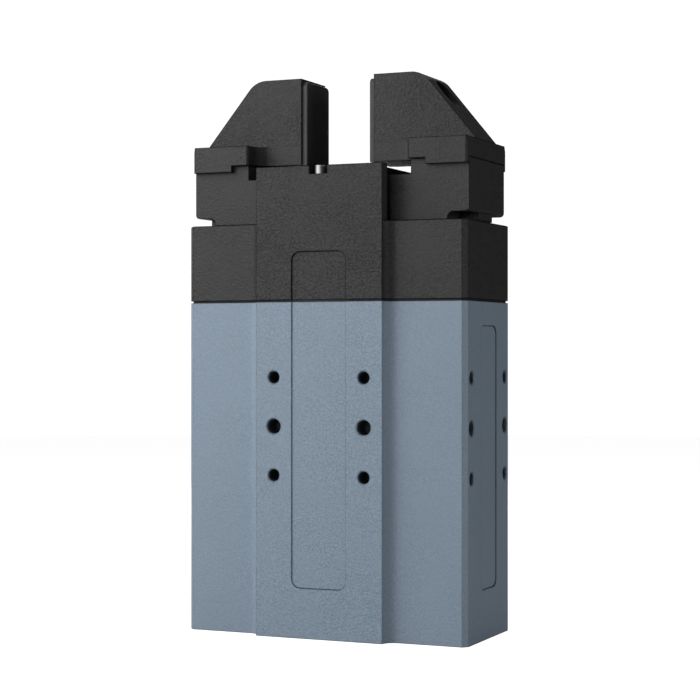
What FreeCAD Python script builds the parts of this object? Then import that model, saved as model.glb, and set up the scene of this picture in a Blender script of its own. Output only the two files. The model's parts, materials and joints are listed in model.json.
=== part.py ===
"""Slim electric two-jaw parallel gripper, built as its separate pieces.

Frame: origin at the bottom centre of the housing, +Z up towards the fingers,
X along the jaw travel, -Y out of the front face. Millimetres.
Rest state: jaws fully open.
"""
import FreeCAD, Part
import math
import os
import re

import Sketcher

Vector = FreeCAD.Vector
Rotation = FreeCAD.Rotation

SIZES = {
    # outer housing
    "body_half_x": 31, "body_half_y": 13, "corner_bevel": 1, "edge_break": 0.2,
    "pad_half_x": 14, "pad_rise": 2.5, "lower_top": 68.4, "gasket_thick": 0.4,
    "shoulder": 84.5, "plate_top": 96, "plate_thick": 2.75, "bridge_half_x": 11,
    "bridge_thick": 1.8, "notch_deep": 1.7,
    # mounting holes
    "hole_mid": 43, "hole_step": 10, "hole_offset": 10, "tapped_radius": 1.25,
    "dowel_radius": 1.525, "hole_depth": 4.2, "hole_bevel": 0.2,
    # shallow plain panels on the faces
    "panel_depth": 0.25, "panel_half": 6, "panel_low": 10.25, "panel_high": 78.6,
    "panel_round": 1.8, "side_panel_half": 4.75, "side_panel_high": 63.5,
    # hollow of the lower housing
    "cover_thick": 3, "cover_half_x": 27.6, "cover_half_y": 10.9, "cover_gap": 0.15,
    "bay_half_x": 24, "bay_half_y": 10.6, "end_bay_half_x": 28.3, "end_bay_half_y": 7.2,
    "seat_low": 66, "seat_half_x": 30, "seat_half_y": 11.4,
    "cover_screw_x": 25.2, "cover_screw_y": 8.55,
    # hollow of the upper housing
    "trough_half_x": 26.6, "trough_half_y": 10.7, "trough_top": 83,
    "slot_half_x": 26.2, "slot_half_y": 4.35,
    "long_screw_x": 28.7, "long_screw_y": 8.5, "long_screw_seat": 82.3, "long_screw_low": 60.5,
    "notch_half_x": 2, "pin_radius": 1.2, "pin_place_y": 14.2, "pin_low": 88,
    # small screws
    "thread_radius": 1, "thread_hole": 0.98, "pass_radius": 1.15, "head_radius": 1.9,
    "cap_head": 2, "sunk_head": 0.8, "sunk_length": 7, "sunk_inset": 0.15, "hex_across": 0.75,
    "countersink": 0.85, "screw_slack": 0.03, "head_slack": 0.15,
    # jaws, as distances from the centre plane with the jaws open
    "block_in": 7.4, "block_out": 30.65, "block_half_y": 10.5,
    "block_low": 84.7, "step_x": 18.2, "block_step_top": 94, "block_top": 97,
    "relief_in": 26, "relief_top": 86.2, "relief_round": 1.2, "rib_half_y": 4.15,
    "rib_out": 30.25, "block_round": 0.85,
    # fingers
    "foot_low": 97.05, "foot_top": 101.1, "foot_half_y": 11.65, "foot_in": 17.8,
    "foot_bevel_x": 30.4, "foot_bevel_z": 99.9, "foot_edge": 0.35, "skirt_in": 21.7,
    "skirt_low": 95.75, "skirt_inner_y": 10.6, "finger_in": 8.2, "finger_half_y": 6,
    "finger_top": 115.2, "finger_low": 97.2, "slant_top_x": 18.79, "slant_low_x": 30.46,
    "slant_round": 5, "root_round": 2.8,
    # gripping pads
    "pad_face_x": 7.05, "grip_half_y": 5.5, "grip_top": 114.5, "grip_round": 1,
    "grip_screw_z": 110.95, "spigot_radius": 2.5, "spigot_out": 12.2,
    "grip_bore_radius": 2.85, "grip_bore_floor": 17.2, "pad_screw_seat": 13.9,
    "pad_screw_hole": 1.6, "pad_screw_radius": 1.42, "pad_head_radius": 2.7, "pad_head_high": 3,
    "pad_screw_long": 5, "pad_hex": 1.4, "grip_bevel": 0.15,
    # jaw screws
    "jaw_thread_radius": 1.25, "jaw_pass_radius": 1.4, "jaw_head_radius": 2.25,
    "jaw_head_high": 2.5, "jaw_screw_long": 7.5, "jaw_hex": 1.15, "foot_thread_deep": 7,
    "block_screw_in": 12.5, "block_screw_out": 22, "block_screw_seat": 87.7,
    "foot_screw_x": 24.6, "foot_screw_y": 8.9, "foot_screw_seat": 98.4,
    # guide: sliders on balls between two fixed rails
    "slider_half_y": 5, "slider_low": 76.9, "slider_top": 82.7, "slider_out": 26,
    "neck_in": 7.6, "neck_out": 25.6, "slider_thread_deep": 2.8, "rack_thread_deep": 2.4,
    "groove_z": 79.8, "groove_depth": 0.994,
    "rail_in_y": 5.9, "rail_out_y": 10.5, "rail_low": 77, "rail_high": 82.6,
    "rail_half_x": 26.4, "rail_screw_y": 9, "rail_screw_step": 19,
    "rail_screw_long": 13, "rail_thread_deep": 4.5,
    "ball_radius": 1, "ball_y": 5.45, "ball_first": 9, "ball_step": 2.6, "cage_in": 7.8,
    "cage_out": 23.2, "cage_half_thick": 0.25, "cage_half_high": 1.8, "cage_hole": 1.05,
    # base plate of the drive
    "base_half_x": 29.8, "base_half_y": 11.2, "base_low": 66, "base_top": 68.4,
    "beam_half_x": 22.5, "beam_in_y": 8.4, "boss_radius": 5.8, "boss_top": 70.2,
    # pinion and racks
    "rack_module": 0.5, "pinion_teeth": 18, "pinion_low": 71.2, "pinion_top": 75,
    "gear_backlash": 0.07, "rack_low": 71, "rack_top": 75.2, "rack_back_y": 7.6,
    "rack_end": 5.6, "rack_out": 25.8, "rack_plate_in": 8, "rack_plate_low": 75.5,
    "rack_plate_edge": 4.6, "rack_screw_in": 11.5, "rack_screw_out": 22.5,
    "rack_screw_long": 3.3,
    # planetary gearhead
    "gear_module": 0.3, "sun_teeth": 18, "planet_teeth": 18, "ring_teeth": 54,
    "planet_orbit": 5.4, "gear_low": 50, "gear_high": 56, "ring_radius": 10,
    "case_low": 46, "case_top": 66, "carrier_radius": 7.5, "carrier_low": 56.5,
    "carrier_high": 58.5, "shaft_radius": 2.5, "shaft_top": 75.2, "planet_pin_radius": 0.75,
    "planet_bore": 0.78, "sun_bore": 1, "flange_screw_orbit": 8.1,
    "output_bearing_outer": 4.5, "output_bearing_thick": 3, "shaft_hole": 4,
    # motor
    "motor_radius": 10, "motor_low": 14, "motor_wall": 0.8, "motor_flange": 2.6,
    "stator_outer": 9.15, "stator_inner": 7.4, "stator_bore": 5.5, "stator_low": 20,
    "stator_high": 38, "rotor_radius": 5.1, "rotor_low": 19, "rotor_high": 39,
    "ball_slack": 0.03, "rotor_shaft": 1.5, "rotor_shaft_low": 9.4, "sensor_low": 6, "sensor_high": 7,
    "sensor_radius": 9, "sensor_chip": 2, "sensor_chip_high": 0.9, "leg_radius": 0.8, "leg_x": 7,
    "encoder_magnet_radius": 2, "motor_bearing_outer": 3, "motor_bearing_thick": 2.4,
    "spigot_ring": 6.5, "tooth_half": 0.8, "coil_half": 1.9, "coil_overhang": 1.4,
    # control board
    "board_x": -17.6, "board_thick": 1.2, "board_half_y": 9.4, "board_low": 9,
    "board_high": 60, "post_radius": 1.6, "post_y": 5.4, "post_low": 13, "post_high": 56,
    "post_floor": 3, "board_head_radius": 1.7, "board_head_high": 1.3, "board_screw_long": 5,
    "board_hex": 0.6, "chip_high": 1, "inductor_high": 1.2, "capacitor_radius": 2.4,
    "capacitor_long": 5, "header_high": 2.5,
    # connector in the bottom cover
    "socket_x": 18, "socket_radius": 4, "socket_flange": 5, "socket_wall": 0.7,
    "socket_high": 13, "socket_inset": 0.3, "flange_deep": 1, "socket_floor": 5.5,
    "socket_pin": 0.3, "socket_pin_orbit": 1.9, "socket_pin_low": 1.2, "fit_gap": 0.02,
}

# the gearhead's screws lie on a circle, at 45 degrees to the axes
FLANGE_SIDE = "flange_screw_orbit*0.7071068"
PLANETS = 3
STATOR_TEETH = 6
CAGE_BALLS = 6
RACK_GAPS = 11
PRESSURE_ANGLE = math.radians(20)
FLANK_STEPS = 6
TIP_HEIGHT = 0.92
RING_TIP_HEIGHT = 0.9
ROOT_DEPTH = 1.25

doc = FreeCAD.newDocument("Gripper")


def make_sheet():
    """Put every driving size in the spreadsheet, one aliased cell each."""
    sheet = doc.addObject("Spreadsheet::Sheet", "Sizes")
    for row, (alias, number) in enumerate(SIZES.items(), 1):
        sheet.set(f"A{row}", alias)
        sheet.set(f"B{row}", str(number))
        sheet.setAlias(f"B{row}", alias)
    doc.recompute()
    return sheet


sheet = make_sheet()
sub_parts = []


def full(text):
    """An expression with each size's alias pointed at the spreadsheet."""

    def point(word):
        return "Sizes." + word[0] if word[0] in SIZES else word[0]

    return re.sub(r"[a-z][a-z_]+", point, str(text))


def value(text):
    """The number that an expression over the sizes has now."""
    return float(sheet.evalExpression(full(text)))


def bind(thing, place, text):
    thing.setExpression(place, full(text))


def keep(thing, label):
    """Name a finished sub-part; the label becomes its file name."""
    thing.Label = label
    sub_parts.append(thing)
    return thing


def span(side, low, high):
    """A range of X on the right (+1) or mirrored to the left (-1)."""
    if side > 0:
        return (f"{low}", f"{high}")
    return (f"-({high})", f"-({low})")


def across(half):
    return (f"-({half})", f"{half}")


# ---------------------------------------------------------------- sketched bodies


def sketch_on(body, plane, offset):
    """An empty sketch on one of the body's own origin planes, moved along the plane's normal."""
    sketch = body.newObject("Sketcher::SketchObject", "Sketch")
    support = [item for item in body.Origin.OriginFeatures if item.Role == plane + "_Plane"][0]
    sketch.AttachmentSupport = [(support, "")]
    sketch.MapMode = "FlatFace"
    bind(sketch, "AttachmentOffset.Base.z", offset)
    return sketch


def pin_point(sketch, edge, end, point):
    """Fix one end of an edge at a pair of expressions."""
    for kind, axis, text in (("DistanceX", -2, point[0]), ("DistanceY", -1, point[1])):
        here = value(text)
        if here == 0:
            sketch.addConstraint(Sketcher.Constraint("PointOnObject", edge, end, axis))
        else:
            index = sketch.addConstraint(Sketcher.Constraint(kind, -1, 1, edge, end, here))
            bind(sketch, f"Constraints[{index}]", text)


def draw_circle(sketch, centre, radius):
    here = Vector(value(centre[0]), value(centre[1]), 0)
    edge = sketch.addGeometry(Part.Circle(here, Vector(0, 0, 1), value(radius)))
    pin_point(sketch, edge, 3, centre)
    index = sketch.addConstraint(Sketcher.Constraint("Radius", edge, value(radius)))
    bind(sketch, f"Constraints[{index}]", radius)


def arc_between(start, finish, centre):
    """The short arc from start to finish, and whether it runs anticlockwise."""
    first = start - centre
    second = finish - centre
    anticlockwise = first.cross(second).z > 0
    angles = [math.atan2(ray.y, ray.x) for ray in (first, second)]
    if not anticlockwise:
        angles.reverse()
    circle = Part.Circle(centre, Vector(0, 0, 1), first.Length)
    return Part.ArcOfCircle(circle, angles[0], angles[1]), anticlockwise


def draw_outline(sketch, points):
    """A closed outline. A point is (x, y), or (x, y, cx, cy, radius) to reach it by an arc."""
    places = [Vector(value(point[0]), value(point[1]), 0) for point in points]
    starts = []
    ends = []
    edges = []
    for index in range(len(points)):
        following = (index + 1) % len(points)
        target = points[following]
        if len(target) == 5:
            centre = Vector(value(target[2]), value(target[3]), 0)
            arc, forward = arc_between(places[index], places[following], centre)
            edges.append(sketch.addGeometry(arc))
            starts.append(1 if forward else 2)
            ends.append(2 if forward else 1)
        else:
            edges.append(sketch.addGeometry(Part.LineSegment(places[index], places[following])))
            starts.append(1)
            ends.append(2)
    for index, edge in enumerate(edges):
        sketch.addConstraint(
            Sketcher.Constraint("Coincident", edges[index - 1], ends[index - 1], edge, starts[index]))
        pin_point(sketch, edge, starts[index], points[index])
    for index, edge in enumerate(edges):
        target = points[(index + 1) % len(points)]
        if len(target) == 5:
            radius = sketch.addConstraint(Sketcher.Constraint("Radius", edge, value(target[4])))
            bind(sketch, f"Constraints[{radius}]", target[4])


def draw(sketch, loops):
    for loop in loops:
        if loop[0] == "circle":
            draw_circle(sketch, loop[1:3], loop[3])
        else:
            draw_outline(sketch, loop)


def rectangle(x, y):
    return [(x[0], y[0]), (x[1], y[0]), (x[1], y[1]), (x[0], y[1])]


def pad(body, plane, loops, reach):
    """Add material over reach = (low, high) along the plane's own global axis."""
    offset = f"-({reach[1]})" if plane == "XZ" else reach[0]
    sketch = sketch_on(body, plane, offset)
    draw(sketch, loops)
    feature = body.newObject("PartDesign::Pad", "Pad")
    feature.Profile = sketch
    bind(feature, "Length", f"({reach[1]}) - ({reach[0]})")
    body.Tip = feature
    doc.recompute()
    return feature


def pocket(body, plane, loops, reach):
    """Remove material over reach = (low, high) and make sure that some went."""
    before = body.Shape.Volume
    offset = f"-({reach[0]})" if plane == "XZ" else reach[1]
    sketch = sketch_on(body, plane, offset)
    draw(sketch, loops)
    feature = body.newObject("PartDesign::Pocket", "Pocket")
    feature.Profile = sketch
    bind(feature, "Length", f"({reach[1]}) - ({reach[0]})")
    body.Tip = feature
    doc.recompute()
    if not body.Shape.Volume < before - 1e-4:
        raise RuntimeError(f"a pocket in {body.Label} cuts nothing")
    return feature


def new_body(label):
    return keep(doc.addObject("PartDesign::Body", label), label)


def edges_through(body, points):
    """Names of the body's edges that pass through the given points (expressions)."""
    names = []
    for point in points:
        vertex = Part.Vertex(*[value(text) for text in point])
        for index, edge in enumerate(body.Shape.Edges, 1):
            if edge.distToShape(vertex)[0] < 1e-4:
                names.append(f"Edge{index}")
                break
        else:
            raise RuntimeError(f"{body.Label} has no edge at {point}")
    return sorted(set(names))


def dress(body, kind, size_name, size, names):
    """Fillet or chamfer named edges of the body's tip."""
    base = body.Tip
    before = body.Shape.Volume
    feature = body.newObject("PartDesign::" + kind, kind)
    feature.Base = (base, names)
    bind(feature, size_name, size)
    body.Tip = feature
    doc.recompute()
    if "Invalid" in feature.State or abs(body.Shape.Volume - before) < 1e-6:
        raise RuntimeError(f"a {kind} of {body.Label} on {names} fails: {feature.State}")
    return feature


def round_edges(body, radius, points):
    return dress(body, "Fillet", "Radius", radius, edges_through(body, points))


def bevel_edges(body, size, points):
    return dress(body, "Chamfer", "Size", size, edges_through(body, points))


def bevel_mouths(body, size, wanted):
    """Chamfer the circular edges whose centre passes the test."""
    names = []
    for index, edge in enumerate(body.Shape.Edges, 1):
        if isinstance(edge.Curve, Part.Circle) and edge.isClosed() and wanted(edge.Curve.Center):
            names.append(f"Edge{index}")
    return dress(body, "Chamfer", "Size", size, names)


def near(first, second):
    return abs(first - second) < 1e-3


# ------------------------------------------------------------ primitives and booleans


def put(thing, at, direction=(0, 0, 1)):
    """Place a primitive: its own +Z turned to a direction, its origin at three expressions."""
    thing.Placement = FreeCAD.Placement(Vector(), Rotation(Vector(0, 0, 1), Vector(*direction)))
    for axis, text in zip("xyz", at):
        bind(thing, f"Placement.Base.{axis}", text)
    return thing


def box(x, y, z):
    block = doc.addObject("Part::Box", "Block")
    for side, (low, high) in zip(("Length", "Width", "Height"), (x, y, z)):
        bind(block, side, f"({high}) - ({low})")
    return put(block, (x[0], y[0], z[0]))


def rod(radius, length, at, direction=(0, 0, 1)):
    cylinder = doc.addObject("Part::Cylinder", "Rod")
    bind(cylinder, "Radius", radius)
    bind(cylinder, "Height", length)
    return put(cylinder, at, direction)


def upright(radius, low, high, x="0", y="0"):
    """A vertical cylinder between two heights."""
    return rod(radius, f"({high}) - ({low})", (x, y, low))


def cut(base, tool):
    result = doc.addObject("Part::Cut", "Cut")
    result.Base = base
    result.Tool = tool
    return result


def fuse(things):
    result = doc.addObject("Part::MultiFuse", "Fuse")
    result.Shapes = things
    return result


def group(things):
    """Several separate solids kept together as one sub-part."""
    result = doc.addObject("Part::Compound", "Group")
    result.Links = things
    return result


def ball(radius, at):
    sphere = doc.addObject("Part::Sphere", "Ball")
    bind(sphere, "Radius", radius)
    return put(sphere, at)


def hex_prism(radius, length, at, direction):
    prism = doc.addObject("Part::Prism", "Hex")
    prism.Polygon = 6
    bind(prism, "Circumradius", radius)
    bind(prism, "Height", length)
    return put(prism, at, direction)


def shifted(at, direction, distance):
    return tuple(f"({text}) + ({step}) * ({distance})" for text, step in zip(at, direction))


def cap_screw(seat, direction, radius, head_radius, head_high, length, hex_radius):
    """Socket head screw. The seat is under the head; direction points along the shank."""
    back = tuple(-step for step in direction)
    head = rod(head_radius, head_high, seat, back)
    shank = rod(radius, length, seat, direction)
    socket_at = shifted(seat, back, f"({head_high}) * 0.45")
    socket = hex_prism(hex_radius, head_high, socket_at, back)
    return cut(fuse([head, shank]), socket)


def sunk_screw(face, direction, radius, head_radius, head_high, length, hex_radius):
    """Countersunk screw. The face is the flat top of the head."""
    head = doc.addObject("Part::Cone", "Head")
    bind(head, "Radius1", head_radius)
    bind(head, "Radius2", radius)
    bind(head, "Height", head_high)
    put(head, face, direction)
    shank = rod(radius, length, face, direction)
    socket_at = shifted(face, direction, f"({head_high}) * 0.6")
    back = tuple(-step for step in direction)
    socket = hex_prism(hex_radius, head_high, socket_at, back)
    return cut(fuse([head, shank]), socket)


def ring(outer, inner, low, high):
    return cut(upright(outer, low, high), upright(inner, f"({low}) - 1", f"({high}) + 1"))


# ----------------------------------------------------------------------- housings


def housing_outline(shrink="0"):
    """Outer outline seen from above, with hollow quarter rounds beside the raised pads."""
    x = f"(body_half_x - {shrink})"
    y = f"(body_half_y - {shrink})"
    rise = "pad_rise"
    flat = f"(pad_half_x - {shrink})"
    foot = f"({flat} + {rise})"
    crest = f"({y} + {rise})"
    bevel_x = f"({x} - corner_bevel)"
    bevel_y = f"({y} - corner_bevel)"
    return [
        (f"-{bevel_x}", f"-{y}"), (f"-{foot}", f"-{y}"),
        (f"-{flat}", f"-{crest}", f"-{foot}", f"-{crest}", rise), (flat, f"-{crest}"),
        (foot, f"-{y}", foot, f"-{crest}", rise), (bevel_x, f"-{y}"),
        (x, f"-{bevel_y}"), (x, bevel_y),
        (bevel_x, y), (foot, y),
        (flat, crest, foot, crest, rise), (f"-{flat}", crest),
        (f"-{foot}", y, f"-{foot}", crest, rise), (f"-{bevel_x}", y),
        (f"-{x}", bevel_y), (f"-{x}", f"-{bevel_y}"),
    ]


def cross_outline():
    """The lower hollow: a wide bay for the motor with narrower bays at both ends."""
    return [
        ("-bay_half_x", "-bay_half_y"), ("bay_half_x", "-bay_half_y"),
        ("bay_half_x", "-end_bay_half_y"), ("end_bay_half_x", "-end_bay_half_y"),
        ("end_bay_half_x", "end_bay_half_y"), ("bay_half_x", "end_bay_half_y"),
        ("bay_half_x", "bay_half_y"), ("-bay_half_x", "bay_half_y"),
        ("-bay_half_x", "end_bay_half_y"), ("-end_bay_half_x", "end_bay_half_y"),
        ("-end_bay_half_x", "-end_bay_half_y"), ("-bay_half_x", "-end_bay_half_y"),
    ]


def corners(x, y):
    return [(f"{sx}*{x}", f"{sy}*{y}") for sx in (-1, 1) for sy in (-1, 1)]


def around(orbit, count, phase=0, x="0"):
    """Centres of count things spaced evenly on a circle; phase is in steps."""
    places = []
    for index in range(count):
        angle = 2 * math.pi * (index + phase) / count
        places.append((f"({x}) + ({orbit})*{math.cos(angle):.6f}", f"({orbit})*{math.sin(angle):.6f}"))
    return places


def mounting_holes(radius, levels):
    return [("circle", f"{side}*hole_offset", f"hole_mid + {level}*hole_step", radius)
            for side in (-1, 1) for level in levels]


def outward_faces():
    """The two planes and the depth of the holes on every outer face."""
    crest = "(body_half_y + pad_rise)"
    return [
        ("XZ", (f"-{crest}", f"-{crest} + hole_depth")), ("XZ", (f"{crest} - hole_depth", crest)),
        ("YZ", ("-body_half_x", "-body_half_x + hole_depth")),
        ("YZ", ("body_half_x - hole_depth", "body_half_x")),
    ]


def lower_housing():
    body = new_body("lower_housing")
    pad(body, "XY", [housing_outline()], ("0", "lower_top"))
    pocket(body, "XY", [rectangle(across("cover_half_x"), across("cover_half_y"))], ("0", "cover_thick"))
    pocket(body, "XY", [cross_outline()], ("cover_thick", "lower_top"))
    pocket(body, "XY", [rectangle(across("seat_half_x"), across("seat_half_y"))], ("seat_low", "lower_top"))
    for plane, reach in outward_faces():
        pocket(body, plane, mounting_holes("tapped_radius", (-1, 1)), reach)
        pocket(body, plane, mounting_holes("dowel_radius", (0,)), reach)
    screw_holes = [("circle", x, y, "thread_hole") for x, y in corners("long_screw_x", "long_screw_y")]
    pocket(body, "XY", screw_holes, ("long_screw_low - 0.5", "seat_low"))
    cover_holes = [("circle", x, y, "thread_hole") for x, y in corners("cover_screw_x", "cover_screw_y")]
    pocket(body, "XY", cover_holes, ("cover_thick", "cover_thick + 6"))
    front_panels(body, "panel_low", "lower_top")
    side_panels(body)
    crest = value("body_half_y + pad_rise")
    end = value("body_half_x")
    bevel_mouths(body, "hole_bevel", lambda c: near(abs(c.y), crest) or near(abs(c.x), end))
    depth = "body_half_y + pad_rise - panel_depth/2"
    round_edges(body, "panel_round", [(f"{sx}*panel_half", f"{sy}*({depth})", "panel_low")
                                      for sx in (-1, 1) for sy in (-1, 1)])
    side_depth = "body_half_x - panel_depth/2"
    round_edges(body, "panel_round", [(f"{sx}*({side_depth})", f"{sy}*side_panel_half", level)
                                      for sx in (-1, 1) for sy in (-1, 1)
                                      for level in ("panel_low", "side_panel_high")])
    return body


def front_panels(body, low, high):
    """Shallow plain recess down the middle of the front and rear pads."""
    crest = "(body_half_y + pad_rise)"
    window = [rectangle(across("panel_half"), (low, high))]
    pocket(body, "XZ", window, (f"-{crest}", f"-{crest} + panel_depth"))
    pocket(body, "XZ", window, (f"{crest} - panel_depth", crest))


def side_panels(body):
    """Shallow plain recess on both narrow sides."""
    window = [rectangle(across("side_panel_half"), ("panel_low", "side_panel_high"))]
    pocket(body, "YZ", window, ("-body_half_x", "-body_half_x + panel_depth"))
    pocket(body, "YZ", window, ("body_half_x - panel_depth", "body_half_x"))


def upper_housing():
    body = new_body("upper_housing")
    low = "lower_top + gasket_thick"
    crest = "(body_half_y + pad_rise)"
    bridge_low = "plate_top - bridge_thick"
    pad(body, "XY", [housing_outline()], (low, "shoulder"))
    plate = rectangle(across("pad_half_x"), ("shoulder", "plate_top"))
    pad(body, "XZ", [plate], (f"-{crest}", f"-{crest} + plate_thick"))
    pad(body, "XZ", [plate], (f"{crest} - plate_thick", crest))
    inner = f"{crest} - plate_thick"
    pad(body, "XY", [rectangle(across("bridge_half_x"), across(inner))], (bridge_low, "plate_top"))
    trough = rectangle(across("trough_half_x"), across("trough_half_y"))
    pocket(body, "XY", [trough], (low, "trough_top"))
    pocket(body, "XY", [rectangle(across("slot_half_x"), across("slot_half_y"))], ("trough_top", "shoulder"))
    through = [("circle", x, y, "pass_radius") for x, y in corners("long_screw_x", "long_screw_y")]
    pocket(body, "XY", through, (low, "long_screw_seat"))
    heads = [("circle", x, y, "head_radius + head_slack") for x, y in corners("long_screw_x", "long_screw_y")]
    pocket(body, "XY", heads, ("long_screw_seat", "shoulder"))
    notch_floor = "plate_top - notch_deep"
    notch = [rectangle(across("notch_half_x"), (notch_floor, "plate_top"))]
    pocket(body, "XZ", notch, (f"-{crest}", f"-({inner})"))
    pocket(body, "XZ", notch, (inner, crest))
    pin_holes = [("circle", "0", f"{side}*pin_place_y", "pin_radius") for side in (-1, 1)]
    pocket(body, "XY", pin_holes, ("pin_low", notch_floor))
    front_panels(body, low, "panel_high")
    depth = "body_half_y + pad_rise - panel_depth/2"
    round_edges(body, "panel_round", [(f"{sx}*panel_half", f"{sy}*({depth})", "panel_high")
                                      for sx in (-1, 1) for sy in (-1, 1)])
    bevel_x = "(body_half_x - corner_bevel/2)"
    bevel_y = "(body_half_y - corner_bevel/2)"
    shoulder_edges = [(f"{sx}*body_half_x", "0", "shoulder") for sx in (-1, 1)]
    shoulder_edges += [(x, y, "shoulder") for x, y in corners(bevel_x, bevel_y)]
    bevel_edges(body, "edge_break", shoulder_edges)
    return body


def housing_gasket():
    body = new_body("housing_gasket")
    reach = ("lower_top", "lower_top + gasket_thick")
    pad(body, "XY", [housing_outline("0.35")], reach)
    pocket(body, "XY", [rectangle(across("trough_half_x"), across("trough_half_y"))], reach)
    holes = [("circle", x, y, "pass_radius") for x, y in corners("long_screw_x", "long_screw_y")]
    pocket(body, "XY", holes, reach)


def housing_screws():
    length = "long_screw_seat - long_screw_low"
    screws = [cap_screw((x, y, "long_screw_seat"), (0, 0, -1), "thread_radius - screw_slack", "head_radius",
                        "cap_head", length, "hex_across")
              for x, y in corners("long_screw_x", "long_screw_y")]
    keep(group(screws), "housing_screws")


def centre_pins():
    pins = [upright("pin_radius - fit_gap", "pin_low", "plate_top", y=f"{side}*pin_place_y")
            for side in (-1, 1)]
    keep(group(pins), "centre_pins")


def bottom_cover():
    body = new_body("bottom_cover")
    x = across("cover_half_x - cover_gap")
    y = across("cover_half_y - cover_gap")
    pad(body, "XY", [rectangle(x, y)], ("0", "cover_thick"))
    pocket(body, "XY", [("circle", "socket_x", "0", "socket_radius")], ("0", "cover_thick"))
    pocket(body, "XY", [("circle", "socket_x", "0", "socket_flange")], ("0", "flange_deep"))
    holes = [("circle", cx, cy, "pass_radius") for cx, cy in corners("cover_screw_x", "cover_screw_y")]
    pocket(body, "XY", holes, ("0", "cover_thick"))
    far = value("cover_screw_x")
    bevel_mouths(body, "countersink", lambda c: near(c.z, 0) and near(abs(c.x), far))


def sunk_screws():
    """Eight equal countersunk screws: four hold the bottom cover, four hold the gearhead."""
    sizes = ("thread_radius - screw_slack", "head_radius - 0.1", "sunk_head", "sunk_length", "hex_across")
    places = corners("cover_screw_x", "cover_screw_y")
    screws = [sunk_screw((x, y, "sunk_inset"), (0, 0, 1), *sizes) for x, y in places]
    places = corners(FLANGE_SIDE, FLANGE_SIDE)
    screws += [sunk_screw((x, y, "base_top - sunk_inset"), (0, 0, -1), *sizes) for x, y in places]
    keep(group(screws), "sunk_screws")


def connector():
    """Recessed round eight-pole socket in the bottom cover, with its insulator and pins."""
    x = "socket_x"
    wall = "socket_radius - socket_wall"
    flange = upright("socket_flange - 0.1", "socket_inset", "flange_deep", x)
    barrel = upright("socket_radius - 0.05", "socket_inset", "socket_high", x)
    bore = upright(wall, "0", "socket_high + 1", x)
    keep(cut(fuse([flange, barrel]), bore), "socket_shell")
    insulator = upright(f"{wall} - fit_gap", "socket_floor", "socket_high - 0.5", x)
    places = [("socket_x", "0")] + around("socket_pin_orbit", 7, x="socket_x")
    holes = [upright("socket_pin + fit_gap", "socket_floor - 1", "socket_high + 1", px, py)
             for px, py in places]
    keep(cut(insulator, fuse(holes)), "socket_insulator")
    pins = [upright("socket_pin", "socket_pin_low", "socket_high + 1.5", px, py) for px, py in places]
    keep(group(pins), "socket_pins")


# ------------------------------------------------------------------------ control board


def control_board():
    x = ("board_x", "board_x + board_thick")
    plate = box(x, across("board_half_y"), ("board_low", "board_high"))
    spots = [(f"{side}*post_y", level) for side in (-1, 1) for level in ("post_low", "post_high")]
    holes = [rod("thread_radius + 0.1", "board_thick + 2", ("board_x - 1", y, z), (1, 0, 0))
             for y, z in spots]
    keep(cut(plate, fuse(holes)), "control_board")
    posts = []
    screws = []
    length = "board_x + end_bay_half_x"
    for y, z in spots:
        wall = ("-end_bay_half_x", y, z)
        bore = rod("thread_radius", length, shifted(wall, (1, 0, 0), "post_floor"), (1, 0, 0))
        posts.append(cut(rod("post_radius", length, wall, (1, 0, 0)), bore))
        seat = ("board_x + board_thick", y, z)
        screws.append(cap_screw(seat, (-1, 0, 0), "thread_radius - screw_slack", "board_head_radius",
                                "board_head_high", "board_screw_long", "board_hex"))
    keep(group(posts), "board_posts")
    keep(group(screws), "board_screws")


def board_components():
    """Chips, coils and capacitors on both faces of the control board."""
    outer = "board_x"
    inner = "board_x + board_thick"
    chips = (("-3.5", "3.5", "30", "37"), ("-6", "-2", "42", "46"), ("1.5", "6.5", "42", "48"))
    pieces = [box((f"{outer} - chip_high", outer), (low_y, high_y), (low_z, high_z))
              for low_y, high_y, low_z, high_z in chips]
    for middle in (-5.5, -0.5, 4.5):
        inductor_y = (f"{middle} - 1.5", f"{middle} + 1.5")
        pieces.append(box((inner, f"{inner} + inductor_high"), inductor_y, ("22", "26")))
    for middle in (-3, 3):
        capacitor_at = (f"{outer} - capacitor_long", f"{middle}", "22")
        pieces.append(rod("capacitor_radius", "capacitor_long", capacitor_at, (1, 0, 0)))
    pieces.append(box((inner, f"{inner} + header_high"), across(5), ("50", "54")))
    keep(group(pieces), "board_components")


# ------------------------------------------------------------------------ motor


def bearing(label, outer, inner, levels, thick, count, phase):
    """Outer rings, inner rings and balls of deep groove bearings stacked on the centre axis."""
    orbit = f"(({outer}) + ({inner}))/2"
    ball_size = f"(({outer}) - ({inner}))*0.28"
    land = f"{ball_size}*0.62"
    outers = []
    inners = []
    balls = []
    for low in levels:
        high = f"({low}) + ({thick})"
        middle = f"({low}) + ({thick})/2"
        races = ((outers, outer, f"{orbit} + {land}"), (inners, f"{orbit} - {land}", inner))
        for store, big, small in races:
            groove = doc.addObject("Part::Torus", "Groove")
            bind(groove, "Radius1", orbit)
            bind(groove, "Radius2", f"{ball_size} + ball_slack")
            put(groove, ("0", "0", middle))
            store.append(cut(ring(big, small, low, high), groove))
        balls += [ball(ball_size, (x, y, middle)) for x, y in around(orbit, count, phase)]
    keep(group(outers), label + "_outer_rings")
    keep(group(inners), label + "_inner_rings")
    keep(group(balls), label + "_balls")


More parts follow.
